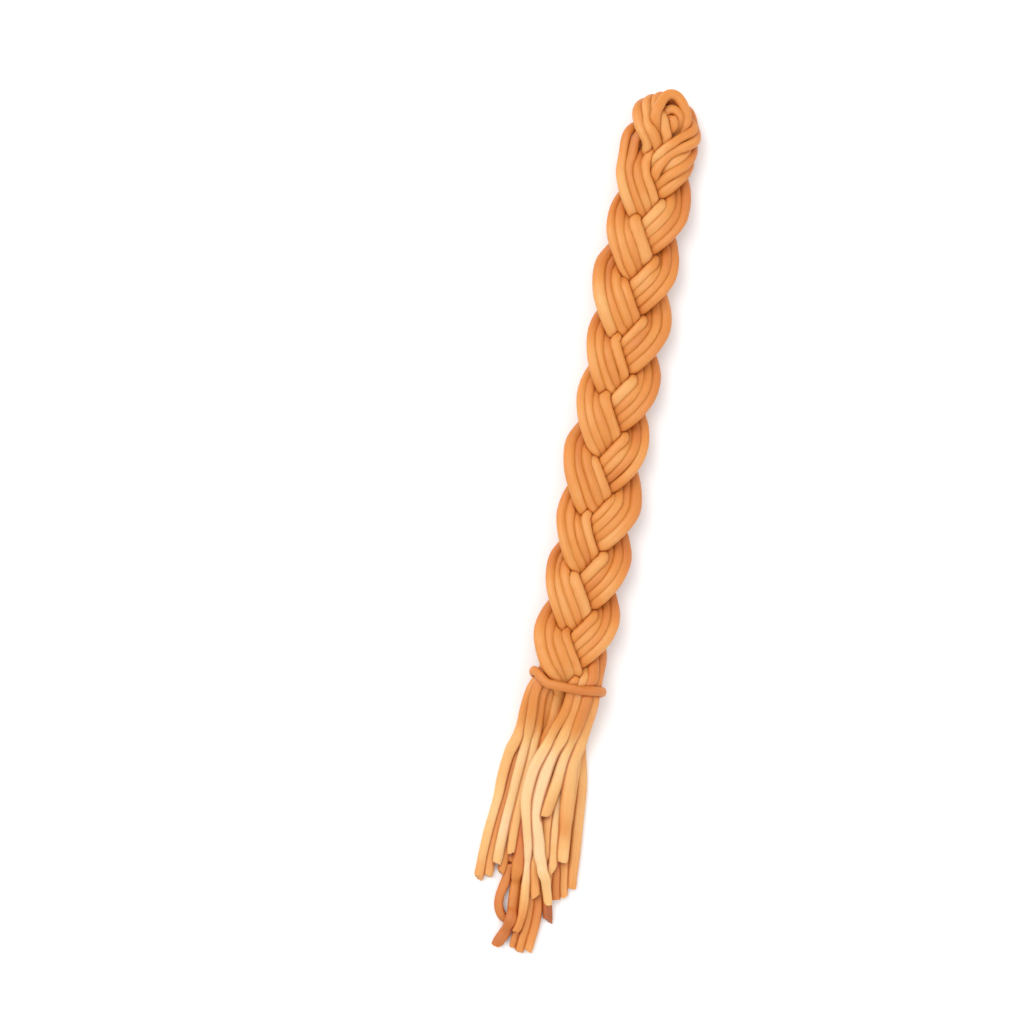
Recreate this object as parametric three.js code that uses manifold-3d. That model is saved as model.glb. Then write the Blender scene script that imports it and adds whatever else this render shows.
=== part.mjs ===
// A braid of smoked string cheese, lying flat. Two of its three strands are the two legs of one bundle
// of strings, folded over at the top of the braid. The third is a shorter bundle that starts in the eye of
// that fold. A single string ties the braid near its lower end, and below the tie the strings hang loose as
// twenty-one cut tails.
// Millimetres. +Y runs along the braid towards the folded end, +Z is up, and the braid lies on Z = 0 with
// the middle of its box over the origin. Sideways places are from the braid's own middle line.
import * as THREE from "three";
import { mergeVertices } from "three/addons/utils/BufferGeometryUtils.js";
import Module from "manifold-3d";

const wasm = await Module();
wasm.setup();

// The braid
const PITCH = 65.3; // length in which a strand swings left, right and back
const FIRST_LEFT_Y = 132; // where the first strand touches the left edge
const SWING = 7.4; // how far a strand's centre swings to each side
const LIFT = 3.8; // how far it rises over, and dips under, the others
const SKEW = 0.21; // makes the swing to the right longer than the swing back
const MIDDLE_Z = 7.2; // height of the braid's middle
const STEP = 2; // between the points that a strand's path goes through

// A strand's section: a rounded ribbon with a flute for each string on its outside
const STRAND_WIDTH = 13.8;
const STRAND_HEIGHT = 8;
const FLATTEN = STRAND_WIDTH / STRAND_HEIGHT;
const STRAND_STEP = 5.4; // length between two rings
const RIBBON_POWER = 2.6; // 2 is an ellipse, and more is squarer
const FLUTES = 7;
const FLUTE_DEPTH = 0.09; // share of the radius
const CLEARANCE = 0.8; // each strand keeps this far from the middle between two strands
const CLEAR_REACH = 30; // strands further apart than this don't touch
const FOLD_TURN = 26; // along one strand, this length away counts as another strand
const END_TAPER = 0.8; // share of the strand's size at its end below the tie
const TIP_TAPER = 0.5; // share of the strand's size at its end in the eye
const FACE_RETURN = 0.3; // how fast a strand's upper face turns back up after a fold

// The tie
const TIE_Y = -61;
const TIE_RADIUS = 1.9;
const TIE_SIDES = 8;
const TIE_STEPS = 32;
const TIE_LAP = 0.1; // share of a turn by which its ends pass each other underneath
const TIE_PITCH = 4.3; // from one turn to the next
const TIE_HALF_WIDTH = 11.9;
const TIE_TOP = 15.4; // height of its centre over the braid
const TIE_DROP = 2.6; // how much further it slopes down from left to right
const TIE_SLOPE = 0.2; // slope of its front
const TIE_GAP = 0.5;
const TIE_ROUNDNESS = 0.8; // 1 makes its turn an ellipse, and less makes it squarer
const GROOVE_BEYOND = 0.02; // share of a turn by which its groove is longer at each end
const PINCH = 0.14; // share of the swing that the tie takes away
const PINCH_LENGTH = 22; // length of braid that narrows into the tie
const TIE_LIFT = 2.4; // how far the tie holds the braid off the table

// The tails
const STRING_RADIUS = 1.9;
const STRING_SIDES = 6;
const TAIL_ROOT = 0.8; // the tails start this far above the middle of the tie, inside the strands
const ROOT_LENGTH = 5;
const STRAND_END = 2.2; // the strands end this far below it
const ROOT_Z = 5.7; // height of the lowest row of roots
const ROW_PITCH = 3.2; // between the rows of roots
const LAYER = 3.6; // between the layers that the tails lie in
const MIDDLE_DROP = 36; // from the tie to the tails' middle
const BEND_RISE = 12; // from a tail's tip up to its bend
const TAIL_POINTS = 17;
const TAIL_APART = 2 * STRING_RADIUS + 0.35;
const BUNDLE_APART = TAIL_APART + 0.45; // between a tail of one solid and a tail of the other
const SETTLING_ROUNDS = 200;
const SMOOTHING_ROUNDS = 170;
const PUSH = 0.5; // share of an overlap that one round undoes
const SMOOTH_SIDEWAYS = 0.15;
const SMOOTH_HEIGHT = 0.3;
const SAG = 0.03; // how far a tail sinks in one round
const TABLE_Z = STRING_RADIUS * Math.cos(Math.PI / STRING_SIDES);

// Tails of the left, middle and right strand. Each row: the root's sideways place and row, the drop of
// the tip below the tie, the sideways places of the middle, the bend and the tip, and the layer.
const LEFT_TAILS = [
  [-12.1, 1, 74.3, -15.2, -18.7, -19.9, 1],
  [-11, 0, 73.9, -12.6, -15.6, -16.5, 0],
  [-10, 2, 68.3, -10.2, -13, -14.4, 1.4],
  [-8.2, 0, 72.2, -9, -11, -11.4, 0],
  [-9.2, 1, 64, -6.8, -8.4, -8.6, 1],
  [-5.8, 0, 68.9, -6.4, -8.4, -8.6, 0],
  [-6.9, 1, 88.2, -6.2, -13.4, -8.4, 0.2],
];
const MIDDLE_TAILS = [
  [-0.9, 2, 98.3, -2.2, -4.9, -10, 1.6],
  [1.7, 0, 99, -2.6, -1.6, -0.8, 0],
  [3.4, 1, 98.5, 1.2, 1.6, 2.4, 0.4],
  [1.9, 1, 78.2, -1.6, 1.2, 2.7, 1],
  [5.1, 0, 86.3, 3.4, 6, 7.9, 0.3],
  [0.9, 2, 62.4, 2.4, 2.6, 3.2, 1],
  [5.8, 1, 68.1, 5.4, 5, 5.3, 1],
];
const RIGHT_TAILS = [
  [2.9, 2, 92, -5.2, -4.6, -3.9, 2],
  [6.2, 2, 80.1, -0.8, 4.4, 6.9, 2],
  [9.5, 2, 48.3, 3.8, 2.2, 0.4, 2.4],
  [9.2, 1, 63.6, 7.4, 8.9, 8.7, 1.8],
  [8.5, 0, 78.3, 8.2, 8.6, 8.9, 0],
  [11.9, 1, 76.7, 11.2, 11.8, 11.8, 0.6],
  [11.4, 0, 73.4, 12.8, 14.2, 14.6, 0],
];

const COLOURS = { folded: 0xe8944a, looped: 0xf0a45c, tie: 0xdd8b46 };

const vec = (x, y, z) => new THREE.Vector3(x, y, z);
const UP = vec(0, 0, 1);
const { smoothstep, lerp } = THREE.MathUtils;

// How far the tie lifts the braid at height y.
function tieLift(y) {
  return TIE_LIFT * Math.exp(-(((y - TIE_Y) / PINCH_LENGTH) ** 2) * 2);
}

// How far round its swing a strand is at height y: 0 at the left edge, pi at the right edge.
function swingPhase(strand, y) {
  const even = (2 * Math.PI * (FIRST_LEFT_Y - (strand * PITCH) / 3 - y)) / PITCH;
  return even - SKEW * (1 - Math.cos(even));
}

// Centre of a strand of the braid at height y.
function strandPoint(strand, y) {
  const phase = swingPhase(strand, y);
  const swing = SWING * (1 - PINCH * smoothstep(-y, -TIE_Y - PINCH_LENGTH, -TIE_Y));
  return vec(-swing * Math.cos(phase), y, MIDDLE_Z + tieLift(y) + LIFT * Math.sin(2 * phase));
}

// Points of a strand from its lower end up to height top.
function legPoints(strand, top) {
  const bottom = TIE_Y - STRAND_END;
  const count = Math.round((top - bottom) / STEP);
  return Array.from({ length: count + 1 }, (_, i) => strandPoint(strand, lerp(bottom, top, i / count)));
}

// The curve through the points, as points an even step apart.
function evenly(points, step) {
  const curve = new THREE.CatmullRomCurve3(points, false, "centripetal");
  curve.arcLengthDivisions = 800;
  return curve.getSpacedPoints(Math.round(curve.getLength() / step));
}

// At each point: the way along the path, the way across it, and the upper face, which follows it over a fold.
function framesOf(points) {
  const face = UP.clone();
  return points.map((at, i) => {
    const next = points[Math.min(i + 1, points.length - 1)];
    const along = next.clone().sub(points[Math.max(i - 1, 0)]).normalize();
    face.addScaledVector(along, -face.dot(along)).normalize();
    face.addScaledVector(UP, FACE_RETURN * face.z * Math.abs(face.z));
    face.addScaledVector(along, -face.dot(along)).normalize();
    return { at, face: face.clone(), across: along.clone().cross(face) };
  });
}

// A closed solid through rings of points, each ring in the same order.
function skin(rings) {
  const sides = rings[0].length;
  const middle = (ring) => ring.reduce((sum, p) => sum.add(p), vec(0, 0, 0)).divideScalar(sides);
  const points = [...rings.flat(), middle(rings[0]), middle(rings.at(-1))];
  const first = points.length - 2;
  const last = (rings.length - 1) * sides;
  const faces = [];
  for (let j = 0; j < sides; j++) {
    const next = (j + 1) % sides;
    for (let a = 0; a < last; a += sides) faces.push(a + j, a + j + sides, a + next);
    for (let a = 0; a < last; a += sides) faces.push(a + next, a + j + sides, a + next + sides);
    faces.push(j, next, first, last + next, last + j, first + 1);
  }
  const geometry = new THREE.BufferGeometry().setFromPoints(points).setIndex(faces);
  const merged = mergeVertices(geometry, 1e-4);
  const mesh = new wasm.Mesh({
    numProp: 3,
    vertProperties: merged.attributes.position.array,
    triVerts: new Uint32Array(merged.index.array),
  });
  return new wasm.Manifold(mesh);
}

function node(name, solid, color) {
  const { vertProperties, triVerts } = solid.getMesh();
  const geometry = new THREE.BufferGeometry()
    .setAttribute("position", new THREE.BufferAttribute(vertProperties, 3))
    .setIndex(new THREE.BufferAttribute(triVerts, 1));
  const material = new THREE.MeshStandardMaterial({ color, roughness: 0.45, metalness: 0 });
  const mesh = new THREE.Mesh(geometry, material);
  mesh.name = name;
  return mesh;
}

// How much of the arm out, from the point at, stays on its own side of the points near.
function pressedShare(at, out, near) {
  const arm = vec(out.x, out.y, out.z * FLATTEN);
  let share = 1;
  for (const p of near) {
    const gap = vec(p.x - at.x, p.y - at.y, (p.z - at.z) * FLATTEN);
    const towards = gap.dot(arm);
    if (towards > 0) share = Math.min(share, gap.lengthSq() / 2 / towards - CLEARANCE / out.length());
  }
  return share;
}

// One ring of a strand. Where strands press on each other, they flatten at the middle between the two.
function strandRing(frame, others, size) {
  const near = others.filter((p) => p.distanceTo(frame.at) < CLEAR_REACH);
  const soften = (value) => Math.sign(value) * Math.abs(value) ** (2 / RIBBON_POWER);
  return Array.from({ length: 2 * FLUTES }, (_, i) => {
    const angle = (Math.PI * i) / FLUTES;
    const flute = size * (i % 2 ? 1 : 1 - FLUTE_DEPTH);
    const out = vec(0, 0, 0)
      .addScaledVector(frame.across, (soften(Math.cos(angle)) * flute * STRAND_WIDTH) / 2)
      .addScaledVector(frame.face, (soften(Math.sin(angle)) * flute * STRAND_HEIGHT) / 2);
    const point = frame.at.clone().addScaledVector(out, pressedShare(frame.at, out, near));
    return point.setZ(Math.max(point.z, 0));
  });
}

// The fold: one strand's top comes over the left shoulder, turns, and goes down the right edge as another
// strand.
const FOLD_ROUTE = [
  vec(-6.7, 148.8, 9.6),
  vec(-3.4, 153, 8.6),
  vec(0.4, 154.2, 5.6),
  vec(4.2, 151.8, 3.9),
  vec(7.1, 146.2, 4.6),
];
const EYE_ROUTE = [vec(4.6, 146, 6), vec(4.2, 150.5, 7.4)];
const foldedRoute = [...legPoints(2, 145), ...FOLD_ROUTE, ...legPoints(1, 139).reverse()];
const loopedRoute = [...legPoints(0, 140), ...EYE_ROUTE];
const foldedPath = evenly(foldedRoute, STRAND_STEP);
const loopedPath = evenly(loopedRoute, STRAND_STEP);
const foldedFine = evenly(foldedRoute, STEP);
const loopedFine = evenly(loopedRoute, STEP);

// Both ends of the folded path and the lower end of the looped one taper into their tails.
const taper = (at) => lerp(END_TAPER, 1, smoothstep(at.y, TIE_Y - STRAND_END, TIE_Y + PINCH_LENGTH / 2));
const foldedRings = framesOf(foldedPath).map((frame, i) => {
  const away = i * STRAND_STEP;
  const ownFar = foldedFine.filter((_, j) => Math.abs(j * STEP - away) > FOLD_TURN);
  return strandRing(frame, [...loopedFine, ...ownFar], taper(frame.at));
});
const loopedRings = framesOf(loopedPath).map((frame, i) => {
  const tip = i === loopedPath.length - 1 ? TIP_TAPER : 1;
  return strandRing(frame, foldedFine, tip * taper(frame.at));
});

function tailPath([root, row, drop, middle, bend, tip, layer]) {
  const rootZ = ROOT_Z + row * ROW_PITCH;
  const rootY = TIE_Y + TAIL_ROOT - TIE_SLOPE * root;
  const height = TABLE_Z + layer * LAYER;
  const stops = [
    vec(root, rootY, rootZ),
    vec(root, rootY - ROOT_LENGTH, rootZ),
    vec(middle, TIE_Y - MIDDLE_DROP, height),
    vec(bend, TIE_Y - drop + BEND_RISE, height),
    vec(tip, TIE_Y - drop, height),
  ];
  return new THREE.CatmullRomCurve3(stops, false, "centripetal").getSpacedPoints(TAIL_POINTS - 1);
}

const leftTails = LEFT_TAILS.map(tailPath);
const otherTails = [...MIDDLE_TAILS, ...RIGHT_TAILS].map(tailPath);
const tails = [...leftTails, ...otherTails];

// Moves the tail's points away from the other tail's points where they are less than apart away.
function pushAway(tail, other, apart) {
  for (const p of tail.slice(2))
    for (const q of other.slice(1)) {
      const gap = p.clone().sub(q);
      const miss = apart - gap.length();
      if (miss > 0) p.addScaledVector(gap.setY(0).normalize(), PUSH * miss);
    }
}

// The tails settle: they push each other apart, rest on the table and stay smooth.
function settle(smoothing) {
  for (const tail of tails)
    for (const other of tails) {
      if (tail === other) continue;
      const sameSolid = leftTails.includes(tail) === leftTails.includes(other);
      pushAway(tail, other, sameSolid ? TAIL_APART : BUNDLE_APART);
    }
  for (const tail of tails) {
    for (const p of tail.slice(2)) p.z = Math.max(p.z, TABLE_Z);
    if (!smoothing) continue;
    for (let i = 2; i < tail.length - 1; i++) {
      const middle = tail[i - 1].clone().lerp(tail[i + 1], 0.5);
      tail[i].x = lerp(tail[i].x, middle.x, SMOOTH_SIDEWAYS);
      tail[i].z = lerp(tail[i].z, middle.z, SMOOTH_HEIGHT);
    }
    for (const p of tail.slice(2)) p.z -= SAG;
  }
}
for (let round = 0; round < SETTLING_ROUNDS; round++) settle(round < SMOOTHING_ROUNDS);

function stringRing(frame, radius, sides) {
  return Array.from({ length: sides }, (_, i) => {
    const angle = (2 * Math.PI * i) / sides;
    const point = frame.at
      .clone()
      .addScaledVector(frame.across, radius * Math.cos(angle))
      .addScaledVector(frame.face, radius * Math.sin(angle));
    return point.setZ(Math.max(point.z, 0));
  });
}

function tailSolid(tail) {
  const kept = tail.filter((_, i) => i % 2 === 0);
  return skin(framesOf(kept).map((frame) => stringRing(frame, STRING_RADIUS, STRING_SIDES)));
}

// The tie winds once round the braid, like a spring squashed to the braid's outline.
function tiePoint(share) {
  const angle = -Math.PI / 2 - 2 * Math.PI * (share * (1 + TIE_LAP) - TIE_LAP / 2);
  const half = (TIE_TOP - TIE_RADIUS) / 2;
  const soften = (value) => Math.sign(value) * Math.abs(value) ** TIE_ROUNDNESS;
  const x = TIE_HALF_WIDTH * soften(Math.cos(angle));
  const slope = (TIE_DROP * x) / TIE_HALF_WIDTH / 2;
  const y = TIE_Y - slope - TIE_PITCH * (share - 0.5);
  return vec(x, y, TIE_RADIUS + half + half * soften(Math.sin(angle)));
}

function tieSolid(radius, beyond = 0) {
  const shares = Array.from({ length: TIE_STEPS + 1 }, (_, i) => i / TIE_STEPS);
  const path = shares.map((share) => tiePoint(lerp(-beyond, 1 + beyond, share)));
  const middle = vec(0, TIE_Y, (TIE_TOP + TIE_RADIUS) / 2);
  const rings = path.map((at, i) => {
    const along = path[Math.min(i + 1, TIE_STEPS)].clone().sub(path[Math.max(i - 1, 0)]).normalize();
    const face = at.clone().sub(middle).setY(0);
    face.addScaledVector(along, -face.dot(along)).normalize();
    return stringRing({ at, face, across: along.clone().cross(face) }, radius, TIE_SIDES);
  });
  return skin(rings);
}

const grooveTube = tieSolid(TIE_RADIUS + TIE_GAP, GROOVE_BEYOND);
const groove = grooveTube.add(grooveTube.translate(0, 0, -TIE_GAP));

// A strand and its tails in one piece, without the sealed hollows between the tails.
function bundle(rings, own) {
  const parts = [skin(rings), ...own.map(tailSolid)];
  const shells = wasm.Manifold.union(parts).subtract(groove).decompose();
  return shells.sort((a, b) => b.volume() - a.volume())[0];
}

const group = new THREE.Group();
group.add(
  node("folded_strands", bundle(foldedRings, otherTails), COLOURS.folded),
  node("looped_strand", bundle(loopedRings, leftTails), COLOURS.looped),
  node("tie_string", tieSolid(TIE_RADIUS), COLOURS.tie),
);
const box = new THREE.Box3().setFromObject(group);
group.position.set(-(box.min.x + box.max.x) / 2, -(box.min.y + box.max.y) / 2, 0);
export default group;
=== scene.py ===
# %% [markdown]
# # A braid of smoked string cheese
# The braid is plaited from three strands of soft, freshly pulled strings. Two strands are the two legs of one bundle,
# folded over at the top. The third starts with tight loops in the eye of that fold. One more string ties the braid,
# and below it the strings hang loose as cut tails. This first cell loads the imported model, which is the frame that
# every size and place below is worked out from.

import math

import bpy
import numpy as np
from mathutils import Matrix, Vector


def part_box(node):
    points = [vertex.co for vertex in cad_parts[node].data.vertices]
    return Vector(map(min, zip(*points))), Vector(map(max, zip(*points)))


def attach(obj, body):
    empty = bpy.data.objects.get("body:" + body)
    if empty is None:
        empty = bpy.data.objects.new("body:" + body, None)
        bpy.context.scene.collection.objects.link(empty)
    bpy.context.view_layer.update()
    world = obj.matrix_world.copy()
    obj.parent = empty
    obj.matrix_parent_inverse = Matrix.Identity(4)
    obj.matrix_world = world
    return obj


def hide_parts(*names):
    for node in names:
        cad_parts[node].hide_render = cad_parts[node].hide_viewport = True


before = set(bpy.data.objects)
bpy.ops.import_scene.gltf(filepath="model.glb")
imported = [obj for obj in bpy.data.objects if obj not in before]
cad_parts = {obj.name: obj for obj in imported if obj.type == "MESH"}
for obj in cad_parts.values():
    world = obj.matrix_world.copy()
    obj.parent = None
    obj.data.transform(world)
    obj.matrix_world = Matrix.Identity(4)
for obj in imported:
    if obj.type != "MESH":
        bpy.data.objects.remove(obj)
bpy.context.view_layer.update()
print("the frame holds", ", ".join(sorted(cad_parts)))

# %% [markdown]
# ## The braid's own measures
# A flat braid is a rhythm: each strand swings from the left edge to the right and back, over one neighbour and under
# the next, a third of a swing after the strand before it. The makers pull a little harder on one side, so the way
# to the right takes longer than the way back. All of that is a handful of numbers, in millimetres, measured from the
# braid's middle line, and Blender's metres come at the very end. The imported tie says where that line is.

# %% Measures of the braid
MM = 0.001
TIE_Y = -61
tie_low, tie_high = (np.array(corner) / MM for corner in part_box("tie_string"))
MIDDLE_X = (tie_low[0] + tie_high[0]) / 2
MIDDLE_Y = (tie_low[1] + tie_high[1]) / 2 - TIE_Y

PITCH = 65.3
FIRST_LEFT_Y = 132
SWING = 8.25
BRAID_X = 0.3
LIFT = 3.7
SKEW = 0.21
MIDDLE_Z = 7.0
STRING_RADIUS = 1.82
print("the braid's middle line is", round(MIDDLE_X, 2), "mm right of the origin")

# %% [markdown]
# ## A strand's middle line
# Two waves make the braid: a sideways one with the braid's pitch, and one up and down that is twice as fast, because
# a strand passes over a neighbour and under another in each swing. Close to the tie the strands are drawn together,
# so there the swing gets smaller and the heap higher.

# %% The middle of a strand
PINCH = 0.08
PINCH_LENGTH = 22
TIE_LIFT = 2.4


def smoothstep(value, low, high):
    """Goes from 0 at low to 1 at high, with a soft start and end."""
    share = np.clip((np.asarray(value, float) - low) / (high - low), 0, 1)
    return share * share * (3 - 2 * share)


def strand_middle(strand, y):
    """Middle of a strand at each height y, as rows of x, y and z."""
    even = 2 * math.pi * (FIRST_LEFT_Y - strand * PITCH / 3 - y) / PITCH
    phase = even - SKEW * (1 - np.cos(even))
    swing = SWING * (1 - PINCH * smoothstep(-y, -TIE_Y - PINCH_LENGTH, -TIE_Y))
    lift = TIE_LIFT * np.exp(-2 * ((y - TIE_Y) / PINCH_LENGTH) ** 2)
    return np.stack([BRAID_X - swing * np.cos(phase), y, MIDDLE_Z + lift + LIFT * np.sin(2 * phase)], axis=1)


heights = strand_middle(0, np.arange(0, PITCH))[:, 2]
print("a strand's middle rises from", round(heights.min(), 1), "to", round(heights.max(), 1), "mm and back")

# %% [markdown]
# ## Seven strings to a strand
# Each strand is a flat ribbon of seven strings: four side by side on its shown face, and three behind them. A ribbon
# could be one fluted body, but the strings of a real braid slip past each other, bulge and dive one by one, so every
# string gets a route of its own. A route starts as the strand's middle plus the string's place in the ribbon. The
# ribbon is a little narrower where it turns at the braid's edge and where it dives under its neighbour. Slow random
# waves let every string wander from its place, and each call for them draws new ones from one fixed seed.

# %% A string's way along its strand
SPACING = 3.0
FACE_DEPTH = 1.55
ACROSS = np.array([-1.5, -0.5, 0.5, 1.5, -1, 0, 1]) * SPACING
FACING = np.array([1, 1, 1, 1, -1, -1, -1]) * FACE_DEPTH
NARROW_AT_EDGE = 0.1
NARROW_UNDER = 0.08
WANDER = 0.55
WANDER_WAVE = 24
TIE_SQUEEZE = 0.14
ROUTE_STEP = 2.0
LEG_BOTTOM = -52

rng = np.random.default_rng(7)


def slow_noise(count, step, wave):
    """Smooth random values about zero, one for each of count points a step apart."""
    knots = rng.normal(size=max(4, int(count * step / wave) + 3))
    place = np.linspace(0, len(knots) - 1.001, count)
    whole = place.astype(int)
    share = place - whole
    share = share * share * (3 - 2 * share)
    return knots[whole] * (1 - share) + knots[whole + 1] * share


def unit(rows):
    """Each row at a length of one."""
    return rows / np.linalg.norm(rows, axis=-1, keepdims=True)


def leg(strand, place, top):
    """Route of one string, up its strand from above the tie."""
    y = np.arange(LEG_BOTTOM, top, ROUTE_STEP)
    middle = strand_middle(strand, y)
    along = unit(np.gradient(middle, axis=0))
    face = unit(np.array([0, 0, 1]) - along * along[:, 2:])
    across = np.cross(along, face)
    outward = np.abs(middle[:, :1] - BRAID_X) / SWING
    under = 0.5 - (middle[:, 2:] - MIDDLE_Z) / (2 * LIFT)
    narrow = 1 - NARROW_AT_EDGE * outward**2 - NARROW_UNDER * np.clip(under, 0, 1)
    wander = WANDER * slow_noise(len(y), ROUTE_STEP, WANDER_WAVE)[:, None]
    route = middle + across * (ACROSS[place] + wander) * narrow + face * FACING[place] / narrow
    route[:, 0] *= 1 - TIE_SQUEEZE * smoothstep(-y, -TIE_Y - PINCH_LENGTH, -TIE_Y)
    return route


print("a ribbon is", round(float(np.ptp(ACROSS)) + 2 * STRING_RADIUS, 1), "mm wide before it is squeezed")

# %% [markdown]
# ## Over the top
# At the top the two outer strands are one bundle. One of its strings arches over the eye in front. The other front
# strings wrap over the left shoulder, cross behind the crown and come back over the right shoulder. The three inner
# strings turn within them. A few points are enough to lead each string through, because the strings settle against
# each other afterwards. Each row starts where the left leg ends, and the list after it says which place in the right
# strand's ribbon the string comes down to.

# %% Ways over the crown, from the left leg to the right one
CROWN = [
    [(-3.6, 140.1, 12.3), (-7.8, 145, 12.4), (-9.9, 149.2, 9.8), (-8.3, 153.2, 5.8), (-4.2, 153, 2.4), (1, 150, 2),
     (5, 146, 2), (8.6, 142, 2.4), (11.2, 138.4, 3.6), (12.5, 134.4, 6.6), (11.4, 129.9, 9.6), (9, 126.7, 11.4)],
    [(-1.2, 142.3, 12.9), (-5.1, 147.6, 13), (-7.2, 152.6, 11), (-5.8, 155.6, 7), (-1.6, 155, 4.4), (3.5, 151, 4),
     (8, 147, 3.4), (10.6, 143.4, 4.2), (12, 139.4, 6.6), (11.4, 135.9, 10), (8.3, 132.1, 12.8), (5.6, 129.6, 12.8)],
    [(0.6, 144.5, 12.6), (-2.9, 150, 13), (-4.6, 154.2, 11.6), (-3, 157, 8), (1, 155.8, 5.6), (6, 152, 5),
     (10.4, 147.4, 5.2), (13, 143.2, 7.6), (11.4, 139.8, 11.4), (8.2, 137.5, 13.2), (5.4, 135.8, 13.3),
     (3, 133.9, 12.8)],
    [(-1.4, 142, 12.2), (-2.5, 146.8, 13.4), (-2.4, 151.5, 13.4), (-1.8, 155.8, 13), (0.9, 158.6, 12.2),
     (4, 157.8, 11.6), (6.3, 154.6, 11.2), (8.2, 151, 10.2), (9.6, 147.4, 8), (9, 143.4, 7), (6.6, 139.6, 8)],
    [(-6, 142, 8), (-8, 147.6, 6.6), (-6, 151.4, 3), (0, 151.6, 2.2), (4.6, 151.2, 3.6), (7.8, 149.6, 5.4),
     (10.4, 146.9, 8.6), (10.4, 144.5, 11.6), (8.4, 142.9, 13.2), (6, 141.4, 13.8), (3.4, 139.2, 13.8),
     (1.2, 136.2, 13)],
    [(-3.4, 143, 7.6), (-4.6, 149, 6.6), (-1, 152.8, 6.2), (4, 150.4, 4.6), (7.6, 145, 4.6), (9, 139, 5.6),
     (7.6, 133.4, 8)],
    [(-1, 141.5, 7.8), (-2, 147, 8.2), (1, 152, 7.6), (5, 149.6, 6.8), (8.6, 144.6, 6.4), (10.8, 139.6, 7.6),
     (10, 136.4, 10.4), (7.4, 133.4, 12.6), (4.8, 131.6, 13), (2, 130.6, 12)],
]
RIGHT_PLACE = [3, 2, 1, 6, 0, 5, 4]
print(len(CROWN), "strings are folded over the top")

# %% [markdown]
# ## The eye
# In the eye of the fold sit the tight loops with which the third strand begins. Each loop goes up from one place in
# that strand's ribbon, turns, and comes down to another. Seven strings are an odd number, so one of them has no
# partner, and just ends inside the crown.

# %% Loops of the third strand: the two places they join, and the points of the turn
EYE = [
    (1, 2, [(-8.6, 134.4, 10), (-9, 138.6, 9), (-7.4, 141.8, 7.6), (-2.6, 144.4, 9), (-0.6, 148, 11.6),
            (0.5, 152, 12), (2.8, 153.4, 11.8), (5.2, 152, 11.4), (6.7, 149.4, 10.4), (6.4, 146.6, 9.2),
            (4, 143.2, 7.6), (0.4, 139.4, 6.6), (-2.6, 135.6, 8.4)]),
    (0, 4, [(-12, 134, 8.4), (-12.6, 138.6, 8.2), (-11.9, 142.8, 7.2), (-7.6, 145.6, 5.2), (-1, 145, 9),
            (1.6, 147, 12.4), (3, 149.8, 12.6), (4.9, 149.9, 12.4), (5.6, 147.8, 12.2), (4.6, 145.6, 11.6),
            (2.6, 143, 9.6), (-2, 140.6, 5), (-7, 138, 3.4)]),
    (3, 5, [(-1.6, 135.4, 9.4), (0.6, 139.4, 7.4), (3.2, 143.6, 7), (5.8, 146, 7.2), (6.6, 144, 5.4),
            (3.6, 140.6, 3.4), (-1, 136.6, 2.6), (-4.6, 134, 3.4)]),
]
LOOSE_PLACE = 6
LOOSE_END = [(2, 138, 3.4), (4.4, 142, 4), (6.4, 145.4, 4.6)]
print(len(EYE), "loops and one loose end start in the eye")

# %% [markdown]
# ## The loose tails
# Below the tie the strings fan out, cross, and end where a knife cut them, each at its own length. A tail is led by
# where it leaves the tie and by a few sideways places at growing drops below it, and it lies in a layer of the heap.
# One tail curls back on itself like a hook, and its neighbour crosses it. In the list, each tail is the sideways
# place and the row of its root, its layer, the smoke at its middle and at its tip, and then its way as pairs of drop
# and sideways place.

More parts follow.
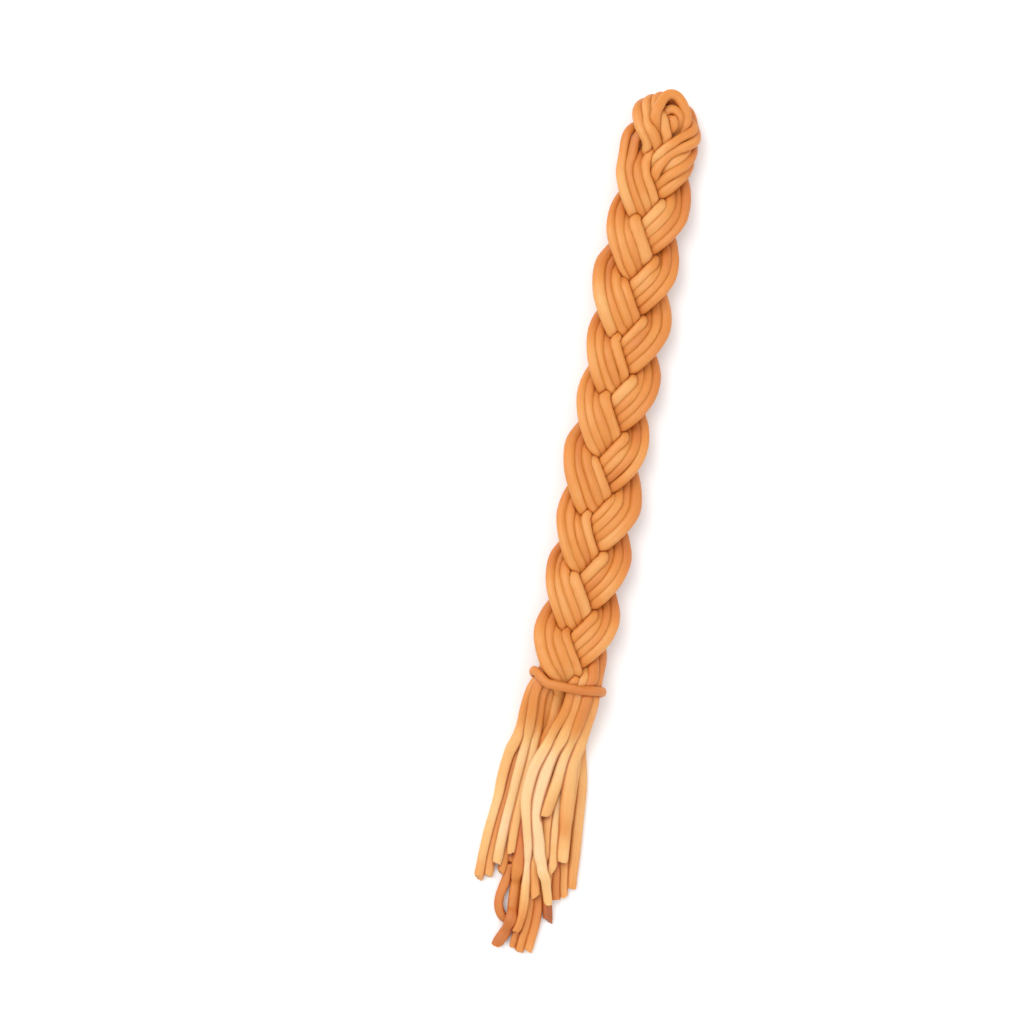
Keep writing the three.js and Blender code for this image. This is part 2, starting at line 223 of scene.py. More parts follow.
# %% The tails' ways, by strand and by place in the ribbon
BRAID_STRANDS = {"left": 0, "right": 1, "middle": 2}
TAILS = {
    0: [
        (-9.9, 1, 1.0, 0.2, 0.3, [(1, -12.2), (9, -13.5), (20, -14.3), (32, -15.9), (46, -17.1), (59, -18.9),
                                  (75, -20)]),
        (-9.2, 2, 1.7, 0.04, 0.12, [(2, -11.4), (12, -11.2), (31, -10.9), (55, -13.2), (68.6, -14.4)]),
        (-6.9, 1.5, 1.0, 0.18, 0.3, [(4, -8.3), (17, -7.7), (29, -7.8), (48, -9.2), (63.8, -8.4)]),
        (-3.6, 0.9, 0.0, 0.55, 0.75, [(4, -4.4), (16, -5), (40, -6.6), (62, -7.2), (70, -8.6), (76, -10.6),
                                      (82, -11.4), (86.2, -10.9), (88.8, -7.6), (87.6, -2.4)]),
        (-8.6, 0, 0.0, 0.6, 0.35, [(9, -12), (40, -14), (73.9, -16.6)]),
        (-6.2, 0, 0.0, 0.65, 0.5, [(9, -8.8), (40, -10), (60, -11.2), (72, -11.2)]),
        (-4.0, 0, 0.1, 0.65, 0.55, [(9, -5.6), (40, -7.2), (60, -8.4), (68.6, -8.3)]),
    ],
    2: [
        (-1.6, 0.4, 1.0, 0.6, 0.85, [(9, -2.4), (40, -4.8), (60, -6.2), (79, -5.8), (86, -4.8), (91, -5.9),
                                     (98, -9.5)]),
        (0.9, 0.5, 0.9, 0.25, 0.95, [(9, 0.9), (30, 1), (50, 1.6), (61, 3), (79, 5.8), (86.4, 7.7)]),
        (2.4, 0.7, 0.9, 0.25, 0.5, [(9, 1.6), (30, -1.6), (46, -3), (58, -2), (70, 0.4), (78.3, 2)]),
        (4.4, 1, 1.0, 0.12, 0.2, [(9, 4.4), (30, 4.2), (46, 4.7), (61, 5), (70, 4)]),
        (-1.4, 0, 0.0, 0.7, 0.6, [(9, -2), (50, -1.6), (82, -1.4), (98, -2.7)]),
        (1.2, 0, 0.5, 0.6, 0.4, [(9, 1), (50, 0.2), (82, 0.4), (99, -0.6)]),
        (3.6, 0, 0.0, 0.6, 0.42, [(9, 4), (50, 3), (79, 2.2), (98.5, 1.1)]),
    ],
    1: [
        (2.2, 2.3, 2.0, 0.06, 0.55, [(6, 2.2), (16, -1.8), (31, -5.9), (40, -7.1), (54, -5.7), (72, -2.5),
                                     (87, -2.6), (92, -3.5)]),
        (4.9, 2.3, 2.1, 0.02, 0.16, [(6, 4.8), (17, 1.6), (31, -2.1), (46, -3.3), (55, -1.9), (69, 3.1),
                                     (80, 6.6)]),
        (7.5, 2.2, 2.7, 0.08, 0.22, [(5, 7.8), (17, 5.6), (29, 3.4), (40, 1.6), (48.2, 0.4)]),
        (9.3, 1.8, 1.9, 0.3, 0.34, [(6, 10.2), (20, 8.2), (31, 6.8), (46, 8), (64, 8.6)]),
        (6.0, 0, 0.0, 0.7, 0.65, [(9, 4.4), (50, 5), (70, 6.6), (78, 8.4)]),
        (7.4, 1, 0.9, 0.32, 0.5, [(9, 6.8), (30, 6.8), (50, 7.6), (64, 9), (76.8, 11.1)]),
        (9.0, 0, 0.0, 0.34, 0.42, [(6, 8.8), (17, 7.2), (24, 8.8), (30, 10.4), (38, 11.7), (50, 12.5), (62, 13.2),
                                   (73.4, 13.9)]),
    ],
}
print(sum(map(len, TAILS.values())), "tails hang below the tie")

# %% [markdown]
# ## From the tie to the cut end
# A tail leaves the tie in its row of the bundle and sinks from there to its layer of the heap. No tail of soft curd
# lies quite where it was put, so the points between root and tip are shifted sideways at random. The tie isn't
# level: its front climbs to the left and a little to the right, and the roots follow it half way.

# %% Points of one tail
ROOT_Z = 5.7
ROW_PITCH = 3.1
LAYER = 3.1
LAYER_DROP = 34
TAIL_WANDER = 0.3
TIE_DIP = 0.6
LEFT_RISE = 3.4
RIGHT_RISE = 1.2
ROOT_FOLLOWS = 0.5


def tie_rise(x):
    """How far the front of the tie stands above TIE_Y at x."""
    return LEFT_RISE * smoothstep(-x, 6.5, 13) + RIGHT_RISE * smoothstep(x, 4, 13) - TIE_DIP


def tail(strand, place):
    """Points of one tail from the tie down to its cut end."""
    root, row, layer, _, _, way = TAILS[strand][place]
    root_y = TIE_Y + float(tie_rise(root)) * ROOT_FOLLOWS
    root_z = ROOT_Z + row * ROW_PITCH
    height = STRING_RADIUS + layer * LAYER
    points = [(root, root_y, root_z)]
    for drop, x in way:
        sunk = float(smoothstep(drop, 0, LAYER_DROP))
        points.append((x, TIE_Y - drop, root_z + (height - root_z) * sunk))
    points = np.array(points)
    points[1:-1, 0] += rng.normal(0, TAIL_WANDER, len(points) - 2)
    return points


print("the tie rises", [round(float(tie_rise(x)), 1) for x in (-13, 0, 13)], "mm at its left, middle and right")

# %% [markdown]
# ## Smooth routes
# The points so far are corners, and a string bends in curves. A spline through all the points does that. It is
# worked out here and not left to a Blender curve, because the next steps need its points an even step apart.

# %% One smooth route through any points
CURVE_POINTS = 12


def smooth_route(points, step):
    """The route through the points, as rows an even step apart."""
    points = np.asarray(points, float)
    lengths = np.linalg.norm(np.diff(points, axis=0), axis=1)
    knots = np.concatenate([[0], np.cumsum(np.sqrt(lengths))])
    slopes = np.gradient(points, knots, axis=0)
    fine = np.linspace(0, knots[-1], CURVE_POINTS * len(points))
    span = np.clip(np.searchsorted(knots, fine, side="right") - 1, 0, len(points) - 2)
    width = (knots[span + 1] - knots[span])[:, None]
    share = (fine - knots[span])[:, None] / width
    start, end = points[span], points[span + 1]
    pull = (end - start) * (3 * share**2 - 2 * share**3)
    lead = slopes[span] * width * (share - 2 * share**2 + share**3)
    trail = slopes[span + 1] * width * (share**3 - share**2)
    curve = start + pull + lead + trail
    travelled = np.concatenate([[0], np.cumsum(np.linalg.norm(np.diff(curve, axis=0), axis=1))])
    count = max(2, round(travelled[-1] / step))
    even = np.linspace(0, travelled[-1], count + 1)
    return np.stack([np.interp(even, travelled, curve[:, axis]) for axis in range(3)], axis=1)


print("a corner of three points becomes", len(smooth_route([(0, 0, 0), (9, 0, 0), (9, 9, 0)], ROUTE_STEP)), "points")

# %% [markdown]
# ## Whole strings
# Now each string is put together from end to end. A folded string is a tail, the middle strand's leg, the way over
# the crown, the right strand's leg and another tail. A looped string is the same with a turn in the eye. The last
# string has a tail at one end only.

# %% Join tails, legs and turns
FOLD_TOP_LEFT = 134
FOLD_TOP_RIGHT = 128
EYE_TOP = 130


def tail_and_leg(strand_name, place, top):
    """A route from a cut end up through the tie to the height of the crown."""
    strand = BRAID_STRANDS[strand_name]
    return np.concatenate([tail(strand, place)[::-1], leg(strand, place, top)])


rough = {}
for place, crossing in enumerate(CROWN):
    rising = tail_and_leg("middle", place, FOLD_TOP_LEFT)
    falling = tail_and_leg("right", RIGHT_PLACE[place], FOLD_TOP_RIGHT)[::-1]
    rough[f"folded_string_{place + 1}"] = np.concatenate([rising, crossing, falling])
for number, (first, second, turn) in enumerate(EYE, 1):
    rising = tail_and_leg("left", first, EYE_TOP)
    falling = tail_and_leg("left", second, EYE_TOP)[::-1]
    rough[f"looped_string_{number}"] = np.concatenate([rising, turn, falling])
rising = tail_and_leg("left", LOOSE_PLACE, EYE_TOP)
rough["looped_string_4"] = np.concatenate([rising, LOOSE_END])
rough = {name: smooth_route(points, ROUTE_STEP) for name, points in rough.items()}
print(len(rough), "strings, together", round(sum(map(len, rough.values())) * ROUTE_STEP / 1000, 2), "m long")

# %% [markdown]
# ## The tie
# One string is wound round the lower end and holds the braid together. Its route is a flattened ring, somewhere
# between a circle and a box, since it lies over a flat bundle on a flat table. It is also a turn of a screw, so its
# two ends lie beside each other behind the braid, where they are pressed into the curd.

# %% The tie's route
TIE_RADIUS = 1.95
TIE_HALF_WIDTH = 12.8
TIE_TOP = 15.7
TIE_LAP = 0.1
TIE_PITCH = 4.0
TIE_POINTS = 120
TIE_SQUARE = 0.8
TIE_STEP = 1.0
TIE_FRONT = (5, 11)
TIE_BACK_RISE = 0.35


def tie_route():
    """The route of the tie, once round the bundle and a little further."""
    share = np.linspace(0, 1, TIE_POINTS)
    angle = -math.pi / 2 - 2 * math.pi * (share * (1 + TIE_LAP) - TIE_LAP / 2)
    half = (TIE_TOP - TIE_RADIUS) / 2
    x = TIE_HALF_WIDTH * np.sign(np.cos(angle)) * np.abs(np.cos(angle)) ** TIE_SQUARE
    z = TIE_RADIUS + half * (1 + np.sign(np.sin(angle)) * np.abs(np.sin(angle)) ** TIE_SQUARE)
    front = smoothstep(z, *TIE_FRONT)
    y = TIE_Y + tie_rise(x) * (TIE_BACK_RISE + (1 - TIE_BACK_RISE) * front) - TIE_PITCH * (share - 0.5)
    return smooth_route(np.stack([x, y, z], axis=1), TIE_STEP)


tie_way = tie_route()
print("the tie's string is", round(len(tie_way) * TIE_STEP), "mm long")

# %% [markdown]
# ## Finding the neighbours
# Both of the next steps ask of each point which points of other strings are nearest, and neither cares about the
# points just beside it on its own string. The table of all distances would be large, so it is worked out for a few
# hundred points at a time.

# %% The nearest points of other strings
BATCH = 500
FAR_AWAY = 1e9


def nearest(points, others, blocked, count):
    """Index of the nearest other points for each point, past those that blocked says."""
    found = []
    for low in range(0, len(points), BATCH):
        part = points[low : low + BATCH]
        away = (part**2).sum(1)[:, None] + (others**2).sum(1)[None] - 2 * part @ others.T
        away[blocked(low, low + len(part))] = FAR_AWAY
        found.append(np.argpartition(away, count, axis=1)[:, :count])
    return np.concatenate(found)


def direction(way):
    """Which way a route runs at each of its points."""
    return unit(np.gradient(way, axis=0))


print("distances are worked out for", BATCH, "points at a time")

# %% [markdown]
# ## Settling
# Soft strings that are plaited by hand can't pass through each other. The routes are laid down roughly, and then
# every point is pushed away from the points of other strings that are nearer than a string is thick, up from the
# table, and back into line with its neighbours on its own string. Ninety rounds of that bring the braid together.
# The loose tails are also let down a little in each round, until they rest on each other or on the table. Some
# strings were pulled thicker than others, and a thick one keeps its neighbours further away.

# %% Settle the strings against each other, the tie and the table
APART = 3.25
TIE_APART = 2.6
ROUNDS = 90
BULK_CHANGE = 0.1
BULK_LIMITS = (0.82, 1.2)
HANGS = (4, 24)
HOLD = 0.03
SAG = 0.06
PUSH_SHARE = 0.6
STRAIGHTEN_SHARE = 0.12
TABLE_GIVE = 0.15
LIST_EVERY = 10
NEAR_COUNT = 30
OWN_REACH = 5


def settle(routes, fixed):
    """The routes pushed apart, away from each other, the fixed points and the table."""
    names = list(routes)
    bulk = np.concatenate([np.full(len(routes[name]), bulks[name]) for name in names] + [np.ones(len(fixed))])
    points = np.concatenate([routes[name] for name in names])
    owner = np.concatenate([np.full(len(routes[name]), i) for i, name in enumerate(names)])
    order = np.arange(len(points))
    inner = (np.roll(owner, 1) == owner) & (np.roll(owner, -1) == owner)
    start = points.copy()
    hanging = smoothstep(TIE_Y - start[:, 1:2], *HANGS)
    hold = HOLD * np.concatenate([1 + hanging, 1 + hanging, 1 - hanging], axis=1)
    every_owner = np.concatenate([owner, np.full(len(fixed), -1)])
    every_order = np.concatenate([order, np.full(len(fixed), -1)])

    def blocked(low, high):
        same = owner[low:high, None] == every_owner[None]
        return same & (np.abs(order[low:high, None] - every_order[None]) < OWN_REACH)

    for number in range(ROUNDS):
        everything = np.concatenate([points, fixed])
        if number % LIST_EVERY == 0:
            near = nearest(points, everything, blocked, NEAR_COUNT)
        gap = points[:, None] - everything[near]
        distance = np.linalg.norm(gap, axis=2) + 1e-6
        apart = np.where(near < len(points), APART * (bulk[: len(points), None] + bulk[near]) / 2, TIE_APART)
        miss = np.clip(apart - distance, 0, None)
        push = (gap / distance[..., None] * miss[..., None]).sum(1) / np.maximum((miss > 0).sum(1), 1)[:, None]
        points = points + PUSH_SHARE * push
        line = (np.roll(points, 1, axis=0) + np.roll(points, -1, axis=0)) / 2
        points[inner] += STRAIGHTEN_SHARE * (line - points)[inner]
        points += hold * (start - points)
        points[:, 2:] -= SAG * hanging
        points[:, 2] = np.maximum(points[:, 2], STRING_RADIUS - TABLE_GIVE)
    print("settled, deepest overlap left", round(float(miss.max()), 2), "mm")
    return {name: points[owner == i] for i, name in enumerate(names)}


bulks = {name: float(np.clip(rng.normal(1, BULK_CHANGE), *BULK_LIMITS)) for name in rough}
settled = settle(rough, tie_way)

# %% [markdown]
# ## A string's body
# A string is curd pushed through a round hole, so it is a round section swept along its route: a curve with a bevel
# does just that, and keeps its rings square to the route. The curve is then converted to a mesh, because the next
# step moves each of its points.

# %% Sweep a string along its route
RING_STEP = 0.9
BEVEL_RESOLUTION = 8


def sweep(name, route):
    """A mesh tube along the route, with one ring at each of its points."""
    bpy.ops.object.select_all(action="DESELECT")
    bpy.ops.curve.primitive_nurbs_path_add(radius=1, location=(0, 0, 0))
    piece = bpy.context.object
    piece.name = name
    curve = piece.data
    curve.splines.clear()
    line = curve.splines.new("POLY")
    line.points.add(len(route) - 1)
    line.points.foreach_set("co", np.column_stack([route, np.ones(len(route))]).ravel())
    curve.bevel_depth = STRING_RADIUS
    curve.bevel_resolution = BEVEL_RESOLUTION
    bpy.ops.object.convert(target="MESH")
    return bpy.context.object


print("a ring every", RING_STEP, "mm, with", 2 * (BEVEL_RESOLUTION + 2), "points")

# %% [markdown]
# ## Pressed together
# Where two soft strings touch, neither stays round: both flatten along the plane half way between their middles, or
# nearer to the thinner one. That is why a braid of cheese has broad, pillowy strings with thin dark lines between
# them, and no gaps as between wires. No primitive or modifier gives that, so it is worked out here point by point:
# each point of a ring keeps to its own side of the planes to the neighbouring strings, and above the table. Strings
# that lie side by side stick together, so they run a little past that plane and the seam between them is shallow.
# Strings that cross keep to it, and the seam is deep.

# %% The planes half way to the neighbours
NEIGHBOURS = 34
OWN_GAP = 10
SEAM_CROSSING = -0.04
SEAM_BESIDE = -0.52
BESIDE = (0.8, 0.97)
NOT_ITS_OWN = -(10**6)


def half_way(own, others, headings, shares, arms):
    """Reach to the nearest half-way plane along each arm, and how squarely the string beyond it crosses this one."""
    own_way = direction(own)
    everyone = np.concatenate([others, own])
    every_heading = np.concatenate([headings, own_way])
    own_order = np.arange(len(own))
    order = np.concatenate([np.full(len(others), NOT_ITS_OWN), own_order])

    def too_near(low, high):
        return np.abs(own_order[low:high, None] - order[None]) < OWN_GAP

    picked = nearest(own, everyone, too_near, NEIGHBOURS)
    gap = everyone[picked] - own[:, None]
    beside = smoothstep(np.abs(np.einsum("nkc,nc->nk", every_heading[picked], own_way)), *BESIDE)
    seam = SEAM_CROSSING + (SEAM_BESIDE - SEAM_CROSSING) * beside
    towards = np.einsum("nkc,nmc->nmk", gap, arms)
    share = np.concatenate([shares, np.full(len(own), 0.5)])[picked]
    reach = (share * (gap**2).sum(2))[:, None] / np.maximum(towards, 1e-3)
    crossing = 1 - np.take_along_axis(beside, reach.argmin(2), axis=1)
    return (reach - seam[:, None]).min(2), crossing


print("each point of a string minds the", NEIGHBOURS, "nearest points around it")

# %% [markdown]
# ## How hard a place is pressed, and the painted seam shade
# The seams and hollows are painted darker and redder than the rest, as the shade that falls in them, so each point
# also carries a number for that painted shade, from 0 in the open to 1 in the deepest places. It grows as the
# neighbours come nearer. A seam between strings side by side gets the least. One under a crossing string gets more,
# and the hollows that other tails cover get it in full.

# %% A number for the painted shade in seams and hollows
SEAM_REACH = 1.6
LOOSE_REACH = 2.1
LOOSE_DROP = (5, 25)
DEEPEST = 0.5
BESIDE_SHARE = 0.55
CROSSING_SHARE = 0.5
COVERED = (0.1, 0.7)


def seam_shade_amounts(own, arms, reach, crossing):
    """Takes the reach to a neighbour in radii, and gives painted seam shade: 1 where that is short and 0 where it is
    long.
    """
    loose = smoothstep(TIE_Y - own[:, 1:2], *LOOSE_DROP)
    seam_reach = SEAM_REACH + (LOOSE_REACH - SEAM_REACH) * loose
    squeezed = np.clip((seam_reach - reach) / (seam_reach - DEEPEST), 0, 1)
    covered = loose * smoothstep(arms[..., 2], *COVERED)
    return squeezed * (BESIDE_SHARE + (1 - BESIDE_SHARE) * np.maximum(CROSSING_SHARE * crossing, covered))


print("a seam in the braid starts", SEAM_REACH, "radii from a string's middle, and one in the tails", LOOSE_REACH)

# %% [markdown]
# ## Pressed and swollen
# The section without neighbours and the half-way planes are blended by a high power: 2 would round the edge between
# them away, and 10 leaves a small soft edge, like that of a string that was pressed. What is pressed in on one side
# swells out on the free sides, so that a string keeps its curd, and a few rounds find out by how much.

# %% Press one string against its neighbours
SHARPNESS = 10
LEAST_REACH = 0.4
SWELL_ROUNDS = 4
MOST_SWOLLEN = 1.22


def press(rings, own, others, headings, shares, radius):
    """The rings with every point pulled in to the half-way planes, and the painted seam shade at each point."""
    arms = unit(rings - own[:, None])
    reach, crossing = half_way(own, others, headings, shares, arms)
    table = own[:, None, 2] / np.maximum(-arms[..., 2], 1e-3)
    reach = np.maximum(np.minimum(reach, table), LEAST_REACH)
    swollen = radius
    for _ in range(SWELL_ROUNDS):
        shape = (swollen**-SHARPNESS + reach**-SHARPNESS) ** (-1 / SHARPNESS)
        loss = np.sqrt((radius**2).mean(1) / (shape**2).mean(1))[:, None]
        swollen = np.minimum(swollen * loss, radius * MOST_SWOLLEN)
    return own[:, None] + arms * shape[..., None], seam_shade_amounts(own, arms, reach / radius, crossing)


print("a string swells by", round(100 * (MOST_SWOLLEN - 1)), "% at most")

# %% [markdown]
# ## Smoke and cream
# The strings are cream inside and take their gold from the smoke, so their colour says where the smoke reached. The
# braid is golden all over. The tails stay pale where they hung side by side, and their free tips are the brownest.
# Above the tie the braid is also painted browner where it lies low, where a strand dives under its neighbours and on
# its underside: that is painted shade. Each point of a string carries all that as a number of its own, the smoke and
# shade.

# %% Smoke and painted shade along a string
SMOKE_BRAID = 0.5
PALE_DROP = (8, 30)
TIP_REACH = 26
# Painted shade: how much browner the braid gets where it lies low, and the heights between which it comes in.
LOW_PAINTED_SHADE = 0.18
DEEP_BELOW = (-12, -6.5)
CLOUD_SMOKE = 0.06
CLOUD_WAVE = 14


def smoke_and_shade_along(own, string_tone, ends):
    """Smoke at each ring: golden in the braid, its own at the middle of each tail, another at its tip, and painted
    shade where the braid lies low.
    """
    count = len(own)
    smoke = np.full(count, SMOKE_BRAID + string_tone)
    drop = TIE_Y - own[:, 1]
    travelled = np.arange(count) * RING_STEP
    for end, (middle_smoke, tip_smoke) in enumerate(ends):
        distance = travelled if end == 0 else travelled[::-1]
        half = np.arange(count) < count / 2 if end == 0 else np.arange(count) >= count / 2
        smoke += (middle_smoke - smoke) * smoothstep(drop, *PALE_DROP) * half
        smoke += (tip_smoke - smoke) * (1 - smoothstep(distance, 0, TIP_REACH))
    # Painted shade where the braid lies low, above the tie.
    smoke += LOW_PAINTED_SHADE * smoothstep(-own[:, 2], *DEEP_BELOW) * smoothstep(own[:, 1], TIE_Y, TIE_Y + 10)
    return smoke + CLOUD_SMOKE * slow_noise(count, RING_STEP, CLOUD_WAVE)


print("smoke in the braid is", SMOKE_BRAID, "of the darkest")

# %% [markdown]
# ## Uneven sections
# A pulled string is never quite a cylinder. Its girth goes up and down by a few hundredths, its section is a
# rounded square that leans slowly to either side, and the tails, which lay flat, are wider than high and get thinner
# towards their ends. A superellipse gives such a section with one power: 2 would be an ellipse, and more is squarer.

# %% The section of a string at each ring
GIRTH_CHANGE = 0.065
GIRTH_WAVE = 13
SECTION_LEAN = 0.25
LEAN_WAVE = 40
SLIM = 0.2
SLIM_DROP = (55, 78)
WIDER = 1.05
TAIL_WIDER = 1.17
WIDER_DROP = (0, 20)
SQUARE = 2.5
END_ROUNDING = (0.86, 0.97)


def section(own, along, rings, size):
    """How far along its width and its height each ring point lies, as parts of 1, and the radius there."""
    side = unit(np.cross(along, np.array([0, 0, 1]) + 1e-3))
    top = np.cross(side, along)
    arms = unit(rings - own[:, None])
    wide = np.einsum("nkc,nc->nk", arms, side)
    high = np.einsum("nkc,nc->nk", arms, top)
    lean = SECTION_LEAN * slow_noise(len(own), RING_STEP, LEAN_WAVE)[:, None]
    wide, high = wide * np.cos(lean) + high * np.sin(lean), high * np.cos(lean) - wide * np.sin(lean)
    drop = TIE_Y - own[:, 1:2]
    thick = size * (1 - SLIM * smoothstep(drop, *SLIM_DROP))
    girth = thick * (1 + GIRTH_CHANGE * slow_noise(len(own), RING_STEP, GIRTH_WAVE)[:, None])
    wider = WIDER + (TAIL_WIDER - WIDER) * smoothstep(drop, *WIDER_DROP)
    radius = girth * (np.abs(wide / wider) ** SQUARE + np.abs(high * wider) ** SQUARE) ** (-1 / SQUARE)
    for ring, rounding in enumerate(END_ROUNDING):
        radius[[ring, -1 - ring]] *= rounding
    return wide, high, radius


print("a tail is", round(TAIL_WIDER**2, 2), "times as wide as it is high")

# %% [markdown]
# ## One finished string
# This puts the steps together: sweep, give the section, press, cut and close. A knife doesn't cut soft curd square
# or clean, so each end is slanted and ragged. The piece gets three kinds of numbers for its material: the smoke and
# shade, which is the smoke with painted shade where the braid lies low; the seam number, which is painted shade in
# the seams and hollows; and each point's place on the string as if that were pulled straight, for the fibres, which
# run along it however it bends.

# %% Finish one string
CUT_SLANT = 0.5
CUT_RAGGED = 0.12
FIBRE_SHIFT = 1000
SMOOTH_ANGLE = 50


def give(piece, name, kind, values):
    """Gives each point of the piece a number or a place of its own."""
    piece.data.attributes.new(name, kind, "POINT").data.foreach_set(
        "vector" if kind == "FLOAT_VECTOR" else "value", np.ascontiguousarray(values, np.float32).ravel()
    )


def finish_string(name, own, others, headings, shares, tone, ends, size):
    """Sweeps, presses and colours one string, and puts it in its place."""
    piece = sweep(name, own)
    rings = np.empty(3 * len(piece.data.vertices))
    piece.data.vertices.foreach_get("co", rings)
    rings = rings.reshape(len(own), -1, 3)
    sides = rings.shape[1]
    along = direction(own)
    wide, high, radius = section(own, along, rings, size)
    shaped, pressed = press(rings, own, others, headings, shares, radius)
    for end in (0, -1):
        slant = CUT_SLANT * rng.normal(size=2) @ np.stack([wide[end], high[end]])
        shaped[end] += along[end] * (slant + CUT_RAGGED * rng.normal(size=sides))[:, None]
    piece.data.vertices.foreach_set("co", ((shaped + np.array([MIDDLE_X, MIDDLE_Y, 0])) * MM).ravel())
    travelled = np.repeat(FIBRE_SHIFT * abs(tone) + np.arange(len(own)) * RING_STEP, sides)
    straight = np.stack([travelled, wide.ravel() * STRING_RADIUS, high.ravel() * STRING_RADIUS], axis=1)
    # The smoke number also carries painted shade where the braid lies low.
    give(piece, "smoke", "FLOAT", np.repeat(smoke_and_shade_along(own, tone, ends), sides))
    # The seam number is painted shade in the seams and hollows.
    give(piece, "pressed", "FLOAT", pressed)
    give(piece, "straight", "FLOAT_VECTOR", straight * MM)
    bpy.ops.object.mode_set(mode="EDIT")
    bpy.ops.mesh.select_all(action="SELECT")
    bpy.ops.mesh.fill_holes(sides=0)
    bpy.ops.mesh.normals_make_consistent(inside=False)
    bpy.ops.object.mode_set(mode="OBJECT")
    bpy.ops.object.shade_smooth_by_angle(angle=math.radians(SMOOTH_ANGLE))
    return piece


print("edges sharper than", SMOOTH_ANGLE, "degrees stay sharp, which keeps the cuts crisp")

# %% [markdown]
# ## All the strings
# Every string is finished in turn, each pressed by all the others and by the tie. The two ends of a folded or looped
# string are two tails, and each brings its own smoke. The share of a string in the gap to its neighbour goes by their
# sizes.

# %% Make every string
TIE_THICKNESS = 1.6
TONE_CHANGE = 0.03


def tail_smokes(name):
    """Smoke at the middle and the tip of each tail that the string ends in."""
    kind, _, number = name.split("_")
    index = int(number) - 1
    if kind == "folded":
        ends = [("middle", index), ("right", RIGHT_PLACE[index])]
    elif kind == "looped" and index < len(EYE):
        ends = [("left", place) for place in EYE[index][:2]]
    elif kind == "looped":
        ends = [("left", LOOSE_PLACE)]
    else:
        ends = []
    return [TAILS[BRAID_STRANDS[strand]][place][3:5] for strand, place in ends]


ways = {name: smooth_route(route, RING_STEP) for name, route in settled.items()}
ways["tie_string_1"] = tie_way
bulks["tie_string_1"] = 1.0
strings = {}
for name, own in ways.items():
    others = [other for other in ways if other != name]
    other_ways = np.concatenate([ways[other] for other in others])
    headings = np.concatenate([direction(ways[other]) for other in others])
    sizes = np.concatenate([np.full(len(ways[other]), bulks[other]) for other in others])
    shares = bulks[name] / (bulks[name] + sizes)
    tone = float(rng.normal(0, TONE_CHANGE))
    size = TIE_THICKNESS if name.startswith("tie") else STRING_RADIUS * bulks[name]
    strings[name] = finish_string(name, own, other_ways, headings, shares, tone, tail_smokes(name), size)
faces = sum(len(piece.data.polygons) for piece in strings.values())
print(len(strings), "strings made, with", faces, "faces")

# %% [markdown]
# ## Colours and nodes
# Colours are picked on a screen as sRGB, and Blender works in linear light, so one function converts them all. A
# second small one adds a node to a material with its settings and its links, which keeps the material readable.

# %% Colours and the node helper
def linear(colour):
    """An sRGB hex colour as the linear values that Blender works in."""
    channels = [int(colour[i : i + 2], 16) / 255 for i in (1, 3, 5)]
    return [c / 12.92 if c <= 0.04045 else ((c + 0.055) / 1.055) ** 2.4 for c in channels] + [1.0]


def node(material, kind, settings=None, **links):
    """Adds a node. Settings name its properties or sockets, and links name the sockets that feed it."""
    made = material.node_tree.nodes.new("ShaderNode" + kind)
    for key, value in (settings or {}).items():
        if hasattr(made, key):
            setattr(made, key, value)
        else:
            made.inputs[key].default_value = value
    for key, source in links.items():
        socket = made.inputs[int(key[1:])] if key[1:].isdigit() else made.inputs[key.replace("_", " ")]
        material.node_tree.links.new(source, socket)
    return made


SMOKE_COLOURS = [(0.0, "#dfba8b"), (0.2, "#daa969"), (0.5, "#cd833a"), (0.75, "#bd6d2b"), (1.0, "#9f5120")]
# Painted shade for the seams and hollows: each colour, the seam numbers between which it comes in, and how much
# of it there is at most.
SEAM_SHADE_COLOURS = [("#c0591c", 0.08, 0.45, 0.5), ("#7c1f12", 0.27, 0.7, 0.8)]
print("golden curd is", [round(channel, 3) for channel in linear(SMOKE_COLOURS[2][1])[:3]], "in linear light")

# %% [markdown]
# ## Smoked curd
# Pulled curd is a moist, waxy, slightly cloudy solid. Light goes a few millimetres into it and comes back warm, which
# subsurface scattering gives. Its skin dries in the smoke to a soft satin: an IOR near 1.46, a roughness of about a
# half, and faint lines along the string from the pulling. The real fibres are finer than a hair, and are drawn at
# about 0.8 mm across and 25 mm long so that they show. A colour ramp turns the smoke and shade number into cream,
# gold or brown, so the painted shade where the braid lies low comes out browner. Clouds a centimetre wide and the
# fibres break it up, and the seam number brings in two colours of painted shade for the seams and hollows, a
# red-brown and a dark red. The tie is the same curd, smoked a shade longer.

# %% The cheese's material
CLOUD_SCALE = 90.0
CLOUD_CHANGE = 0.1
FIBRE_SCALES = (40.0, 1300.0, 1300.0)
FIBRE_CHANGE = 0.09
LUMP_SCALE = 420.0


